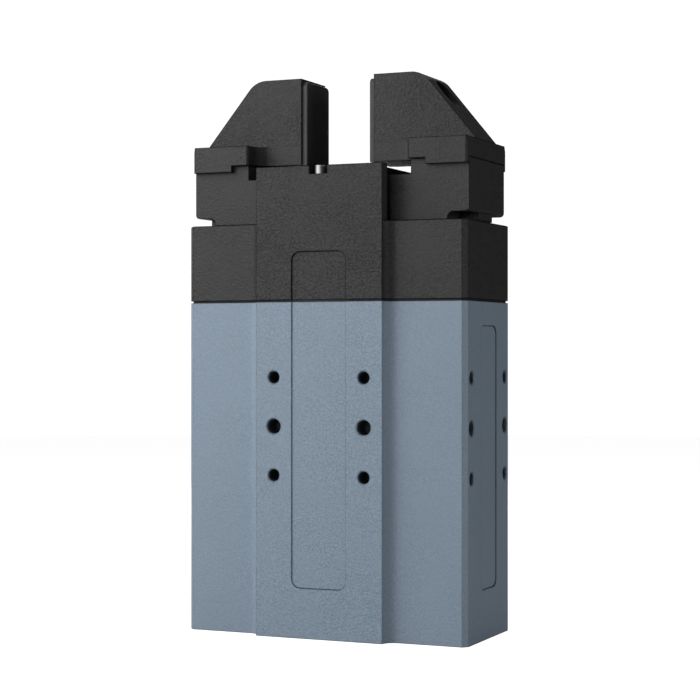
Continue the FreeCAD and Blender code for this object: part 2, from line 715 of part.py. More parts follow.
def motor():
    inner = "motor_radius - motor_wall"
    can = upright("motor_radius", "motor_low", "case_low")
    hollow = upright(inner, "motor_low - 1", "case_low - motor_flange")
    bore = upright("motor_bearing_outer", "motor_low", "case_low + 1")
    spigot = upright("spigot_ring", "case_low", "case_low + 1")
    keep(cut(fuse([can, spigot]), fuse([hollow, bore])), "motor_case")
    cap = upright("motor_radius", "motor_low - 2", "motor_low")
    plug = upright(f"{inner} - fit_gap", "motor_low - 1", "motor_low + 2")
    tail = upright("motor_bearing_outer", "motor_low - 3", "motor_low + 3")
    keep(cut(fuse([cap, plug]), tail), "motor_end_cap")
    sensor = upright("sensor_radius", "sensor_low", "sensor_high")
    chip_z = ("sensor_high", "sensor_high + sensor_chip_high")
    chip = box(across("sensor_chip"), across("sensor_chip"), chip_z)
    legs = [upright("leg_radius", "sensor_high", "motor_low - 2", f"{side}*leg_x") for side in (-1, 1)]
    keep(fuse([sensor, chip] + legs), "encoder_board")


def spoke(index, start, finish, half, low, high):
    """A block along one of the stator's radii, between two distances from the axis."""
    angle = 360 / STATOR_TEETH * index
    cosine = math.cos(math.radians(angle))
    sine = math.sin(math.radians(angle))
    block = doc.addObject("Part::Box", "Spoke")
    bind(block, "Length", f"({finish}) - ({start})")
    bind(block, "Width", f"2*({half})")
    bind(block, "Height", f"({high}) - ({low})")
    block.Placement = FreeCAD.Placement(Vector(), Rotation(Vector(0, 0, 1), angle))
    bind(block, "Placement.Base.x", f"({start})*{cosine:.6f} + ({half})*{sine:.6f}")
    bind(block, "Placement.Base.y", f"({start})*{sine:.6f} - ({half})*{cosine:.6f}")
    bind(block, "Placement.Base.z", low)
    return block


def stator():
    """Laminated ring with inward teeth, and a coil round each tooth."""
    core = ring("stator_outer", "stator_inner", "stator_low", "stator_high")
    reach = ("stator_low", "stator_high")
    coil_reach = ("stator_low - coil_overhang", "stator_high + coil_overhang")
    teeth = []
    coils = []
    for index in range(STATOR_TEETH):
        teeth.append(spoke(index, "stator_bore", "stator_inner + 0.3", "tooth_half", *reach))
        coil = spoke(index, "stator_bore + 0.4", "stator_inner - 0.25", "coil_half", *coil_reach)
        slot = spoke(index, "stator_bore", "stator_inner + 1", "tooth_half", *reach)
        coils.append(cut(coil, slot))
    keep(fuse([core] + teeth), "stator_core")
    keep(group(coils), "stator_coils")


def rotor():
    shaft = upright("rotor_shaft", "rotor_shaft_low", "gear_high + 0.2")
    step = upright("sun_bore", "gear_low - 1", "gear_high + 0.2")
    sleeve = ring("rotor_shaft + 0.5", "sun_bore", "gear_low - 0.5", "gear_high + 1")
    keep(cut(fuse([shaft, step]), sleeve), "rotor_shaft")
    magnet = ring("rotor_radius", "rotor_shaft", "rotor_low", "rotor_high")
    keep(magnet, "rotor_magnet")
    keep(upright("encoder_magnet_radius", "sensor_high + 1.4", "rotor_shaft_low"), "encoder_magnet")


# ------------------------------------------------------------------------ gears


def involute(angle):
    return math.tan(angle) - angle


def gear_wire(teeth, module, tip, root, backlash, turn):
    """Outline of an involute gear. Positive backlash thins the teeth, negative thickens them."""
    pitch = module * teeth / 2
    base = pitch * math.cos(PRESSURE_ANGLE)
    half = (math.pi * module / 2 - backlash) / (2 * pitch) + involute(PRESSURE_ANGLE)
    low = max(base, root)
    edges = []
    steps = [low + (tip - low) * index / FLANK_STEPS for index in range(FLANK_STEPS + 1)]
    rise = [(radius, half - involute(math.acos(min(1, base / radius)))) for radius in steps]

    def at(radius, angle):
        return Vector(radius * math.cos(angle), radius * math.sin(angle), 0)

    for index in range(teeth):
        middle = turn + 2 * math.pi * index / teeth
        following = middle + 2 * math.pi / teeth
        right = [at(radius, middle - angle) for radius, angle in rise]
        left = [at(radius, middle + angle) for radius, angle in reversed(rise)]
        root_angle = rise[0][1]
        if root < base:
            edges.append(Part.LineSegment(at(root, middle - root_angle), right[0]).toShape())
        flank = Part.BSplineCurve()
        flank.interpolate(right)
        edges.append(flank.toShape())
        edges.append(Part.Arc(right[-1], at(tip, middle), left[0]).toShape())
        flank = Part.BSplineCurve()
        flank.interpolate(left)
        edges.append(flank.toShape())
        if root < base:
            edges.append(Part.LineSegment(left[-1], at(root, middle + root_angle)).toShape())
        start = at(root, middle + root_angle)
        finish = at(root, following - root_angle)
        edges.append(Part.Arc(start, at(root, middle + math.pi / teeth), finish).toShape())
    return Part.Wire(Part.sortEdges(edges)[0])


def gear_prism(wire, low, high):
    face = Part.Face(wire)
    face.translate(Vector(0, 0, low))
    return face.extrude(Vector(0, 0, high - low))


def bore_tool(radius, low, high, spot=(0, 0)):
    """An upright cylinder as a plain shape."""
    return Part.makeCylinder(radius, high - low, Vector(spot[0], spot[1], low))


def toothed(label, shape, at=(0, 0, 0)):
    feature = doc.addObject("Part::Feature", label)
    feature.Shape = shape
    feature.Placement = FreeCAD.Placement(Vector(*at), Rotation())
    return keep(feature, label)


def spur_gear(label, teeth_name, module_name, bore, low, high, turn, at=(0, 0, 0)):
    """Outside gear with a plain bore, teeth at the given turn about its own axis."""
    teeth = int(value(teeth_name))
    module = value(module_name)
    pitch = module * teeth / 2
    wire = gear_wire(teeth, module, pitch + TIP_HEIGHT * module, pitch - ROOT_DEPTH * module,
                     value("gear_backlash") * module / value("rack_module"), turn)
    solid = gear_prism(wire, value(low), value(high))
    hole = Part.makeCylinder(value(bore), value(high) - value(low) + 2, Vector(0, 0, value(low) - 1))
    return toothed(label, solid.cut(hole), at)


def gearhead():
    """Ring gear case, sun and three planets."""
    module = value("gear_module")
    teeth = int(value("ring_teeth"))
    pitch = module * teeth / 2
    backlash = value("gear_backlash") * module / value("rack_module")
    ring_tip = pitch - RING_TIP_HEIGHT * module
    spaces = gear_wire(teeth, module, pitch + ROOT_DEPTH * module, ring_tip, -backlash, math.pi / teeth)
    low = value("case_low")
    high = value("case_top")
    entry = value("gear_low - 0.6")
    top = value("carrier_high + 0.4")
    teeth_end = value("gear_high + 0.3")
    hollows = [
        gear_prism(spaces, entry, teeth_end),
        bore_tool(value("spigot_ring + fit_gap"), low - 1, entry),
        bore_tool(ring_tip, entry - 0.5, entry + 0.5),
        bore_tool(value("carrier_radius + 0.3"), value("gear_high"), top),
        bore_tool(value("shaft_hole"), top - 0.1, high + 1),
        bore_tool(value("output_bearing_outer"), value("case_top - 4"), high + 1),
    ]
    orbit = value("flange_screw_orbit")
    for index in range(4):
        angle = math.radians(45 + 90 * index)
        spot = (orbit * math.cos(angle), orbit * math.sin(angle))
        hollows.append(bore_tool(value("thread_hole"), high - 6, high + 1, spot))
    solid = bore_tool(value("ring_radius"), low, high)
    for hollow in hollows:
        solid = solid.cut(hollow)
    toothed("ring_gear_case", solid)
    spur_gear("sun_gear", "sun_teeth", "gear_module", "sun_bore", "gear_low", "gear_high", 0)
    orbit = value("planet_orbit")
    half_tooth = math.pi / value("planet_teeth")
    for index in range(PLANETS):
        angle = 2 * math.pi * index / PLANETS
        centre = (orbit * math.cos(angle), orbit * math.sin(angle), 0)
        spur_gear(f"planet_gear_{index + 1}", "planet_teeth", "gear_module", "planet_bore",
                  "gear_low + 0.1", "gear_high - 0.1", angle + half_tooth, centre)


def carrier():
    disc = upright("carrier_radius", "carrier_low", "carrier_high")
    shaft = upright("shaft_radius", "carrier_high", "shaft_top")
    places = around("planet_orbit", PLANETS)
    holes = [upright("planet_pin_radius", "carrier_low - 1", "carrier_high + 1", x, y)
             for x, y in places]
    keep(cut(fuse([disc, shaft]), fuse(holes)), "planet_carrier")
    pins = [upright("planet_pin_radius", "gear_low - 0.3", "carrier_high", x, y) for x, y in places]
    keep(group(pins), "planet_pins")


def pinion():
    spur_gear("pinion", "pinion_teeth", "rack_module", "shaft_radius", "pinion_low", "pinion_top", 0)


# ------------------------------------------------------------------------ drive base and guide


def rail_screw_places(sides=(-1, 1)):
    return [(f"{step}*rail_screw_step", f"{side}*rail_screw_y") for side in sides for step in (-1, 0, 1)]


def guide_base():
    """Plate over the gearhead, with a bearing boss and a beam under each rail."""
    body = new_body("guide_base")
    pad(body, "XY", [rectangle(across("base_half_x"), across("base_half_y"))], ("base_low", "base_top"))
    pad(body, "XY", [("circle", "0", "0", "boss_radius")], ("base_top", "boss_top"))
    for side in (-1, 1):
        pad(body, "XY", [rectangle(across("beam_half_x"), span(side, "beam_in_y", "rail_out_y"))],
            ("base_top", "rail_low"))
    pocket(body, "XY", [("circle", "0", "0", "output_bearing_outer")], ("base_low", "boss_top"))
    through = [("circle", x, y, "pass_radius") for x, y in corners("long_screw_x", "long_screw_y")]
    pocket(body, "XY", through, ("base_low", "base_top"))
    rail_holes = [("circle", x, y, "pass_radius - 0.1") for x, y in rail_screw_places()]
    pocket(body, "XY", rail_holes, ("base_low", "rail_low"))
    heads = [("circle", x, y, "head_radius + 0.1") for x, y in rail_screw_places()]
    pocket(body, "XY", heads, ("base_low", "base_low + cap_head"))
    flange = [("circle", x, y, "pass_radius") for x, y in corners(FLANGE_SIDE, FLANGE_SIDE)]
    pocket(body, "XY", flange, ("base_low", "base_top"))
    top = value("base_top")
    far = value("flange_screw_orbit")
    bevel_mouths(body, "countersink", lambda c: near(c.z, top) and near(math.hypot(c.x, c.y), far))


def groove_outline(edge_y, outward):
    """V groove in a vertical face, as a triangle in the YZ plane that opens at the face."""
    tip = f"{edge_y} + ({outward})*groove_depth"
    return [(edge_y, "groove_z - groove_depth"), (tip, "groove_z"), (edge_y, "groove_z + groove_depth")]


def guide_rails():
    for side, label in ((-1, "guide_rail_front"), (1, "guide_rail_rear")):
        body = new_body(label)
        reach_y = span(side, "rail_in_y", "rail_out_y")
        pad(body, "XY", [rectangle(across("rail_half_x"), reach_y)], ("rail_low", "rail_high"))
        pocket(body, "YZ", [groove_outline(f"{side}*rail_in_y", side)], across("rail_half_x"))
        holes = [("circle", x, y, "thread_hole") for x, y in rail_screw_places([side])]
        pocket(body, "XY", holes, ("rail_low", "rail_low + rail_thread_deep"))


def guide_rail_screws():
    screws = [cap_screw((x, y, "base_low + cap_head"), (0, 0, 1), "thread_radius - screw_slack",
                        "head_radius", "cap_head - 0.2", "rail_screw_long", "hex_across")
              for x, y in rail_screw_places()]
    keep(group(screws), "guide_rail_screws")


# ------------------------------------------------------------------------ jaws


def along(side, first, second):
    """Centres of two holes on the jaw's middle line."""
    return [(f"{side}*{first}", "0"), (f"{side}*{second}", "0")]


def circles(places, radius):
    return [("circle", x, y, radius) for x, y in places]


def slider(side, name):
    """Guided bar with a ball groove in each flank and a neck that carries the jaw block."""
    body = new_body(name + "_slider")
    pad(body, "XY", [rectangle(span(side, "block_in", "slider_out"), across("slider_half_y"))],
        ("slider_low", "slider_top"))
    pad(body, "XY", [rectangle(span(side, "neck_in", "neck_out"), across("rib_half_y"))],
        ("slider_top", "block_low"))
    for wall in (-1, 1):
        groove = groove_outline(f"{wall}*slider_half_y", -wall)
        pocket(body, "YZ", [groove], span(side, "block_in", "slider_out"))
    holes = circles(along(side, "block_screw_in", "block_screw_out"), "jaw_thread_radius")
    pocket(body, "XY", holes, ("slider_top - slider_thread_deep", "block_low"))
    small = circles(along(side, "rack_screw_in", "rack_screw_out"), "thread_hole")
    pocket(body, "XY", small, ("slider_low", "slider_low + rack_thread_deep"))


def rack(side, name):
    """Toothed bar on the jaw's own side of the pinion, with a plate that meets the slider."""
    body = new_body(name + "_rack")
    root = f"(pinion_teeth*rack_module/2 + rack_module*{ROOT_DEPTH})"
    tip = f"(pinion_teeth*rack_module/2 - rack_module*{TIP_HEIGHT})"
    bar_y = span(side, tip, "rack_back_y")
    plate_x = span(side, "rack_plate_in", "rack_out")
    pad(body, "XY", [rectangle(span(side, "-rack_end", "rack_out"), bar_y)], ("rack_low", "rack_top"))
    pad(body, "XY", [rectangle(plate_x, bar_y)], ("rack_top", "slider_low"))
    plate = rectangle(plate_x, span(side, "-rack_plate_edge", tip))
    pad(body, "XY", [plate], ("rack_plate_low", "slider_low"))
    holes = circles(along(side, "rack_screw_in", "rack_screw_out"), "pass_radius")
    pocket(body, "XY", holes, ("rack_plate_low", "slider_low"))
    under = value("rack_plate_low")
    bevel_mouths(body, "countersink - 0.1", lambda c: near(c.z, under))
    feature = pocket(body, "XY", [rack_gap(side, root, tip)], ("rack_low", "rack_top"))
    pattern = body.newObject("PartDesign::LinearPattern", "TeethGaps")
    pattern.Originals = [feature]
    pattern.Direction = (feature.Profile[0], ["H_Axis"])
    pattern.Reversed = side < 0
    pattern.Occurrences = RACK_GAPS
    pattern.Length = math.pi * value("rack_module") * (RACK_GAPS - 1)
    body.Tip = pattern
    doc.recompute()


def rack_gap(side, root, tip):
    """The first gap between two teeth, two and a half tooth pitches before the centre plane."""
    pitch = f"({math.pi:.8f}*rack_module)"
    middle = f"({pitch}/2 - 3*{pitch})"
    half = f"({pitch}/4 + gear_backlash/2)"
    slope = math.tan(PRESSURE_ANGLE)
    beyond = f"({tip} - rack_module)"
    narrow = f"({half} - rack_module*{ROOT_DEPTH * slope:.6f})"
    wide = f"({half} + rack_module*{(TIP_HEIGHT + 1) * slope:.6f})"
    corner_list = ((f"{middle} - {wide}", beyond), (f"{middle} + {wide}", beyond),
                   (f"{middle} + {narrow}", root), (f"{middle} - {narrow}", root))
    return [(f"{side}*({x})", f"{side}*{y}") for x, y in corner_list]


def rack_screws(side, name):
    sizes = ("thread_radius - screw_slack", "head_radius - 0.15", "sunk_head - 0.05",
             "rack_screw_long", "hex_across")
    screws = [sunk_screw((x, y, "rack_plate_low + 0.1"), (0, 0, 1), *sizes)
              for x, y in along(side, "rack_screw_in", "rack_screw_out")]
    keep(group(screws), name + "_rack_screws")


def foot_screw_places(side):
    return [(f"{side}*foot_screw_x", f"{wall}*foot_screw_y") for wall in (-1, 1)]


def jaw_block(side, name):
    """Travelling block: low inner end under the bridge, tall outer end, relieved under its outer end."""
    body = new_body(name + "_jaw_block")
    profile = [("block_in", "block_low"), ("relief_in", "block_low"), ("relief_in", "relief_top"),
               ("block_out", "relief_top"), ("block_out", "block_top"), ("step_x", "block_top"),
               ("step_x", "block_step_top"), ("block_in", "block_step_top")]
    pad(body, "XZ", [[(f"{side}*{x}", z) for x, z in profile]], across("block_half_y"))
    round_edges(body, "relief_round", [(f"{side}*relief_in", "0", "relief_top")])
    round_edges(body, "block_round", [(f"{side}*block_out", "0", "relief_top")])
    pad(body, "XY", [rectangle(span(side, "relief_in - 1", "rib_out"), across("rib_half_y"))],
        ("block_low", "relief_top + 1"))
    places = along(side, "block_screw_in", "block_screw_out")
    pocket(body, "XY", circles(places, "jaw_pass_radius"), ("block_low", "block_screw_seat"))
    pocket(body, "XY", circles(places, "jaw_head_radius + head_slack"), ("block_screw_seat", "block_top"))
    tapped = circles(foot_screw_places(side), "jaw_thread_radius")
    pocket(body, "XY", tapped, ("block_top - foot_thread_deep", "block_top"))


def jaw_screws(side, name):
    """Four equal screws: two hold the block to the slider, two hold the finger to the block."""
    sizes = ("jaw_thread_radius - screw_slack", "jaw_head_radius", "jaw_head_high",
             "jaw_screw_long", "jaw_hex")
    seats = [(x, y, "block_screw_seat") for x, y in along(side, "block_screw_in", "block_screw_out")]
    seats += [(x, y, "foot_screw_seat") for x, y in foot_screw_places(side)]
    screws = [cap_screw(seat, (0, 0, -1), *sizes) for seat in seats]
    keep(group(screws), name + "_jaw_screws")


def finger(side, name):
    """Finger with its integral foot, which saddles the jaw block with two short skirts."""
    body = new_body(name + "_finger")
    foot = [("foot_in", "foot_low"), ("block_out", "foot_low"), ("block_out", "foot_bevel_z"),
            ("foot_bevel_x", "foot_top"), ("foot_in", "foot_top")]
    pad(body, "XZ", [[(f"{side}*{x}", z) for x, z in foot]], across("foot_half_y"))
    blade = [("finger_in", "finger_low"), ("step_x + 1", "finger_low"), ("step_x + 1", "foot_top - 1"),
             ("slant_low_x + 0.001", "foot_top - 0.001"), ("slant_top_x", "finger_top"),
             ("finger_in", "finger_top")]
    pad(body, "XZ", [[(f"{side}*({x})", z) for x, z in blade]], across("finger_half_y"))
    round_edges(body, "slant_round", [(f"{side}*slant_top_x", "0", "finger_top")])
    skirt_x = span(side, "skirt_in", "block_out")
    for wall in (-1, 1):
        skirt = rectangle(skirt_x, span(wall, "skirt_inner_y", "foot_half_y"))
        pad(body, "XY", [skirt], ("skirt_low", "foot_low"))
    corner_points = [(f"{side}*foot_in", f"{wall}*foot_half_y", "foot_top - 1") for wall in (-1, 1)]
    corner_points += [(f"{side}*block_out", f"{wall}*foot_half_y", "foot_low + 0.5") for wall in (-1, 1)]
    bevel_edges(body, "foot_edge", corner_points)
    root_points = [(f"{side}*foot_in", f"{wall}*finger_half_y", "foot_low + 2") for wall in (-1, 1)]
    round_edges(body, "root_round", root_points)
    steps = (("spigot_radius", "finger_in", "spigot_out + 0.2"),
             ("pad_screw_hole", "spigot_out", "grip_bore_floor"),
             ("grip_bore_radius", "pad_screw_seat", "slant_low_x"))
    for radius, near_x, far_x in steps:
        pocket(body, "YZ", [("circle", "0", "grip_screw_z", radius)], span(side, near_x, far_x))
    places = foot_screw_places(side)
    pocket(body, "XY", circles(places, "jaw_pass_radius"), ("foot_low", "foot_screw_seat"))
    pocket(body, "XY", circles(places, "jaw_head_radius + head_slack"), ("foot_screw_seat", "foot_top"))


def grip_pad(side, name):
    body = new_body(name + "_grip_pad")
    pad(body, "XY", [rectangle(span(side, "pad_face_x", "finger_in"), across("grip_half_y"))],
        ("finger_low", "grip_top"))
    round_edges(body, "grip_round", [(f"{side}*(pad_face_x + 0.5)", f"{wall}*grip_half_y", "grip_top")
                                     for wall in (-1, 1)])
    ends = [(f"{side}*pad_face_x", "0", level) for level in ("grip_top", "finger_low")]
    bevel_edges(body, "grip_bevel", ends)
    spigot = [("circle", "0", "grip_screw_z", "spigot_radius - fit_gap")]
    pad(body, "YZ", spigot, span(side, "finger_in", "spigot_out"))
    bore = [("circle", "0", "grip_screw_z", "pad_screw_radius + 0.03")]
    pocket(body, "YZ", bore, span(side, "finger_in + 0.2", "spigot_out"))


def pad_screw(side, name):
    seat = (f"{side}*pad_screw_seat", "0", "grip_screw_z")
    screw = cap_screw(seat, (-side, 0, 0), "pad_screw_radius", "pad_head_radius", "pad_head_high",
                      "pad_screw_long", "pad_hex")
    keep(screw, name + "_pad_screw")


def guide_balls(side, name):
    """Ball cage strips at the front and rear of one slider, and their balls."""
    cages = []
    balls = []
    for wall in (-1, 1):
        middle = f"{wall}*ball_y"
        strip_y = (f"{middle} - cage_half_thick", f"{middle} + cage_half_thick")
        strip_z = ("groove_z - cage_half_high", "groove_z + cage_half_high")
        strip = box(span(side, "cage_in", "cage_out"), strip_y, strip_z)
        holes = []
        for index in range(CAGE_BALLS):
            x = f"{side}*(ball_first + {index}*ball_step)"
            holes.append(rod("cage_hole", "2", (x, f"{middle} - 1", "groove_z"), (0, 1, 0)))
            balls.append(ball("ball_radius", (x, middle, "groove_z")))
        cages.append(cut(strip, fuse(holes)))
    keep(group(cages), name + "_ball_cages")
    keep(group(balls), name + "_guide_balls")


def build():
    lower_housing()
    upper_housing()
    housing_gasket()
    housing_screws()
    centre_pins()
    bottom_cover()
    sunk_screws()
    connector()
    control_board()
    board_components()
    motor()
    stator()
    rotor()
    bearing("motor_bearing", "motor_bearing_outer", "rotor_shaft", ("motor_low - 0.6", "case_low - 2.5"),
            "motor_bearing_thick", 7, 0)
    bearing("output_bearing", "output_bearing_outer", "shaft_radius", ("case_top - 3.6", "base_top - 1.4"),
            "output_bearing_thick", 9, 0.5)
    gearhead()
    carrier()
    pinion()
    guide_base()
    guide_rails()
    guide_rail_screws()
    for side, name in ((-1, "left"), (1, "right")):
        slider(side, name)
        rack(side, name)
        rack_screws(side, name)
        guide_balls(side, name)
        jaw_block(side, name)
        jaw_screws(side, name)
        finger(side, name)
        grip_pad(side, name)
        pad_screw(side, name)


def check_and_write():
    """Refuse a failed object or an invalid shape, then write one STEP file per sub-part."""
    doc.recompute()
    for thing in doc.Objects:
        if "Invalid" in thing.State or "Error" in thing.State:
            raise RuntimeError(f"{thing.Name} of {thing.TypeId} failed: {thing.State}")
    os.makedirs("parts", exist_ok=True)
    for thing in sub_parts:
        if thing.Shape.isNull() or not thing.Shape.isValid():
            raise RuntimeError(f"{thing.Label} has no valid shape")
    for thing in sub_parts:
        thing.Shape.exportStep(f"parts/{thing.Label}.step")
        bounds = thing.Shape.BoundBox
        print(f"{thing.Label:28s} solids {len(thing.Shape.Solids):2d} volume {thing.Shape.Volume:9.1f} "
              f"x {bounds.XMin:7.2f} {bounds.XMax:7.2f} y {bounds.YMin:7.2f} {bounds.YMax:7.2f} "
              f"z {bounds.ZMin:7.2f} {bounds.ZMax:7.2f}")
    print(len(sub_parts), "sub-parts")


build()
check_and_write()
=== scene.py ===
"""Looks of the slim two-jaw gripper: finishes, studio light, floor and camera."""

import json
import math

import bpy
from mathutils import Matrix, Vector


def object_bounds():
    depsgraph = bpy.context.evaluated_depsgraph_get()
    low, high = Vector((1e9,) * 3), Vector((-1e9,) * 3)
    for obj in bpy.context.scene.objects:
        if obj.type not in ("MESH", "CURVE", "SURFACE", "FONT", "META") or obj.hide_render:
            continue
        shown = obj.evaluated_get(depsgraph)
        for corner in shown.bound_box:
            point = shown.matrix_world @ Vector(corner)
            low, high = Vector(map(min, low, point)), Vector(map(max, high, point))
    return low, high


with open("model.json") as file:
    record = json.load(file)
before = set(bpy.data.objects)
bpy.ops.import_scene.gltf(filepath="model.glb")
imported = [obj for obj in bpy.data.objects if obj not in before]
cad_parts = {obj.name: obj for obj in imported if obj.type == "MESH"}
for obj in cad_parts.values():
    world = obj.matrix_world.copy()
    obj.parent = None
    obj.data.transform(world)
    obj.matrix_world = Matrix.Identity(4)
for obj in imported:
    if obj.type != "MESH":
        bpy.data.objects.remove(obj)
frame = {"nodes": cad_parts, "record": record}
cad_low, cad_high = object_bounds()

MM = 0.001

# Camera: level, at the height of the middle of the object, to the right of the front face.
VIEW_TURN = math.radians(23.73)
VIEW_DISTANCE = 390.57 * MM
VIEW_SIDE = 0.219 * MM
VIEW_HEIGHT = 58.598 * MM
LENS = 95.77
SENSOR = 36.0

# Lamps: place and size in metres, power in watts.
LIGHTS = {
    "key": ((-0.19, -0.19, 0.20), (0.26, 0.26), 0.82),
    "front_fill": ((-0.12, -0.46, 0.18), (0.50, 0.26), 1.12),
    "right": ((0.45, -0.02, 0.10), (0.20, 0.30), 0.68),
    "top": ((-0.05, 0.10, 0.50), (0.30, 0.30), 0.35),
    "back": ((-0.22, 0.30, 0.20), (0.30, 0.30), 1.3),
}
AMBIENT = 0.04      # what the white surroundings give off as light
BACKDROP = 1.05     # how bright they look to the camera
FLOOR_GLOW = 0.96   # how much the floor glows, to the camera only

# Blasting is coarse on the raised pads, beyond this depth, and on the fingers, above this height.
COARSE_DEPTH = 15.2 * MM
COARSE_HEIGHT = 101 * MM

EDGE_REACH = 0.14 * MM      # how far the pale edge, partly wear and partly painted highlight, reaches in from an edge
EDGE_SHADE_REACH = 0.32 * MM   # how far the painted edge shade reaches
HOLE_SHADE_REACH = 4 * MM         # holes and slots narrower than this get painted shade

# Colours, linear.
BLUE_GREY = (0.205, 0.262, 0.325)
BLACK_ANODISED = (0.0215, 0.0205, 0.021)
PAD_RUBBER = (0.036, 0.035, 0.0355)
STEEL = (0.62, 0.62, 0.63)
PIN_STEEL = (0.30, 0.295, 0.29)
GEAR_STEEL = (0.50, 0.50, 0.50)
NICKEL = (0.66, 0.65, 0.62)
ALUMINIUM = (0.75, 0.76, 0.77)
BRASS = (0.70, 0.52, 0.22)
GOLD = (0.86, 0.66, 0.28)
COPPER = (0.62, 0.28, 0.12)
MAGNET = (0.20, 0.20, 0.21)
BOARD_GREEN = (0.02, 0.16, 0.07)
BLACK_OXIDE = (0.03, 0.03, 0.032)
NYLON = (0.02, 0.02, 0.022)
GASKET = (0.012, 0.012, 0.012)


# ------------------------------------------------------------------ node helpers


class Finish:
    """A node-based material, built on one Principled shader."""

    def __init__(self, name):
        self.material = bpy.data.materials.new(name)
        self.material.use_nodes = True
        self.tree = self.material.node_tree
        self.shader = self.tree.nodes["Principled BSDF"]
        self.place = self.tree.nodes.new("ShaderNodeTexCoord").outputs["Object"]

    def feed(self, name, source):
        """Drive one input of the shader by a socket."""
        self.tree.links.new(source, self.shader.inputs[name])

    def node(self, kind, **settings):
        made = self.tree.nodes.new(kind)
        for key, setting in settings.items():
            setattr(made, key, setting)
        return made

    def link(self, source, target):
        self.tree.links.new(source, target)

    def noise(self, size, detail=2.0, rough=0.5, stretch=None):
        """Noise whose features are about size metres across."""
        texture = self.node("ShaderNodeTexNoise")
        texture.inputs["Scale"].default_value = 1.0 / size
        texture.inputs["Detail"].default_value = detail
        texture.inputs["Roughness"].default_value = rough
        place = self.place
        if stretch is not None:
            mapping = self.node("ShaderNodeMapping")
            mapping.inputs["Scale"].default_value = stretch
            self.link(place, mapping.inputs["Vector"])
            place = mapping.outputs["Vector"]
        self.link(place, texture.inputs["Vector"])
        return texture.outputs["Fac"]

    def remap(self, source, low, high, to_low, to_high):
        changed = self.node("ShaderNodeMapRange")
        for key, number in (("From Min", low), ("From Max", high), ("To Min", to_low), ("To Max", to_high)):
            changed.inputs[key].default_value = number
        self.link(source, changed.inputs["Value"])
        return changed.outputs["Result"]

    def mix(self, factor, first, second):
        """Blend two colours, each a colour or a socket."""
        blend = self.node("ShaderNodeMix", data_type="RGBA")
        colours = [socket for socket in blend.inputs if socket.type == "RGBA"]
        for socket, source in zip(colours, (first, second)):
            if isinstance(source, bpy.types.NodeSocket):
                self.link(source, socket)
            else:
                socket.default_value = (*source, 1.0)
        self.link(factor, blend.inputs[0])
        return [socket for socket in blend.outputs if socket.type == "RGBA"][0]

    def arithmetic(self, operation, first, second=None):
        """One arithmetic step on a socket; second is a number or a socket."""
        step = self.node("ShaderNodeMath", operation=operation)
        self.link(first, step.inputs[0])
        if isinstance(second, bpy.types.NodeSocket):
            self.link(second, step.inputs[1])
        elif second is not None:
            step.inputs[1].default_value = second
        return step.outputs[0]

    def edge(self, radius, low=0.02, high=0.25):
        """Near 1 on convex and concave edges: how far a rounded normal leaves the true one."""
        rounded = self.node("ShaderNodeBevel", samples=6)
        rounded.inputs["Radius"].default_value = radius
        flat = self.node("ShaderNodeNewGeometry")
        product = self.node("ShaderNodeVectorMath", operation="DOT_PRODUCT")
        self.link(rounded.outputs["Normal"], product.inputs[0])
        self.link(flat.outputs["True Normal"], product.inputs[1])
        return self.remap(product.outputs["Value"], 1.0 - low, 1.0 - high, 0.0, 1.0)

    def upright(self, radius):
        """Near 1 on faces and edges whose rounded normal is level, near 0 where it points up or down."""
        rounded = self.node("ShaderNodeBevel", samples=6)
        rounded.inputs["Radius"].default_value = radius
        split = self.node("ShaderNodeSeparateXYZ")
        self.link(rounded.outputs["Normal"], split.inputs[0])
        return self.remap(self.arithmetic("ABSOLUTE", split.outputs["Z"]), 0.15, 0.5, 1.0, 0.0)

    def open_sky(self, reach):
        """Near 1 on open faces, near 0 deep in a hole or slot narrower than the reach; it masks the painted
        shade in hollows.
        """
        shelter = self.node("ShaderNodeAmbientOcclusion", samples=8, only_local=True)
        shelter.inputs["Distance"].default_value = reach
        return self.remap(shelter.outputs["AO"], 0.12, 0.6, 0.0, 1.0)

    def bump(self, layers, distance):
        """Stack bumps; each layer is (height socket, strength)."""
        last = None
        for height, strength in layers:
            raised = self.node("ShaderNodeBump")
            raised.inputs["Strength"].default_value = strength
            raised.inputs["Distance"].default_value = distance
            self.link(height, raised.inputs["Height"])
            if last is not None:
                self.link(last, raised.inputs["Normal"])
            last = raised.outputs["Normal"]
        self.feed("Normal", last)

    def set(self, **numbers):
        for key, number in numbers.items():
            self.shader.inputs[key.replace("_", " ")].default_value = number


def shade(colour, factor):
    return tuple(min(1.0, part * factor) for part in colour)


# ------------------------------------------------------------------ finishes


def coarse_places(finish):
    """How coarse the blasting is: full on the raised pads and on the fingers, finer elsewhere."""
    split = finish.node("ShaderNodeSeparateXYZ")
    finish.link(finish.place, split.inputs[0])
    depth = finish.arithmetic("ABSOLUTE", split.outputs["Y"])
    on_crest = finish.arithmetic("GREATER_THAN", depth, COARSE_DEPTH)
    on_finger = finish.arithmetic("GREATER_THAN", split.outputs["Z"], COARSE_HEIGHT)
    coarse = finish.arithmetic("MAXIMUM", on_crest, on_finger)
    patches = finish.remap(finish.noise(11 * MM, 2.0), 0.35, 0.65, 0.65, 1.15)
    return finish.arithmetic("MULTIPLY", finish.remap(coarse, 0.0, 1.0, 0.55, 1.0), patches)


